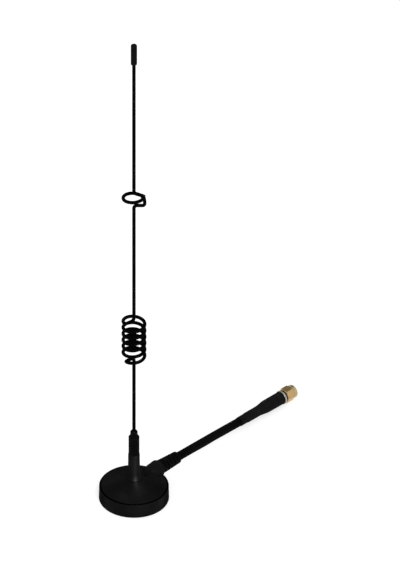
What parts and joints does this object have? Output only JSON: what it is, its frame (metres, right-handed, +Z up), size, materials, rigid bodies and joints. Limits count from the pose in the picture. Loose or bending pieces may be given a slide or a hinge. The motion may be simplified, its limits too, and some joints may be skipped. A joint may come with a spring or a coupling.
{
  "type": "gsm antenna",
  "caption": "Whip antenna on a round magnetic base, with a wound loading coil, a phasing loop, a tip cap and a short coaxial lead that ends in a plug with a hexagonal coupling nut.",
  "frame": {"origin": "centre of the underside of the magnetic base, on the surface that it holds to", "axes": "+Z up along the whip; +Y the way the lead leaves the base; +X completes a right-handed frame"},
  "size_m": [0.0396, 0.1528, 0.31],
  "materials": {
    "housing": "satin moulded",
    "steel_cup": "zinc plated",
    "magnet": "ground ferrite",
    "pad": "matt",
    "inner_brass": "turned",
    "insulator": "smooth",
    "black_metal": "black plated",
    "black_wire": "black coated",
    "cap": "moulded",
    "relief": "matt",
    "jacket": "extruded",
    "braid": "tinned",
    "copper": "drawn",
    "sleeve": "shrunk",
    "pale_gold": "pale plated",
    "gasket": "moulded",
    "gold": "plated"
  },
  "bodies": {
    "antenna": {"base_housing": "housing", "pole_cup": "steel_cup", "ring_magnet": "magnet", "base_pad": "pad", "ground_disc": "inner_brass", "insulating_washer": "insulator", "feed_stud": "inner_brass", "whip_ferrule": "black_metal", "whip_wire": "black_wire", "tip_cap": "cap", "strain_relief": "relief", "cable_jacket": "jacket", "braid_tail": "braid", "core_tail": "insulator", "conductor_tail": "copper", "shrink_sleeve": "sleeve", "crimp_ferrule": "inner_brass", "plug_braid": "braid", "plug_core": "insulator", "connector_body": "pale_gold", "retaining_ring": "inner_brass", "face_gasket": "gasket", "pin_insulator": "insulator", "centre_pin": "gold"},
    "nut": {"coupling_nut": "gold"}
  },
  "joints": [
    {"name": "nut_spin", "type": "hinge", "parent": "antenna", "child": "nut", "pos_m": [-0.0065, 0.1285, 0.0041], "axis": [0, 1, 0], "continuous": true}
  ]
}
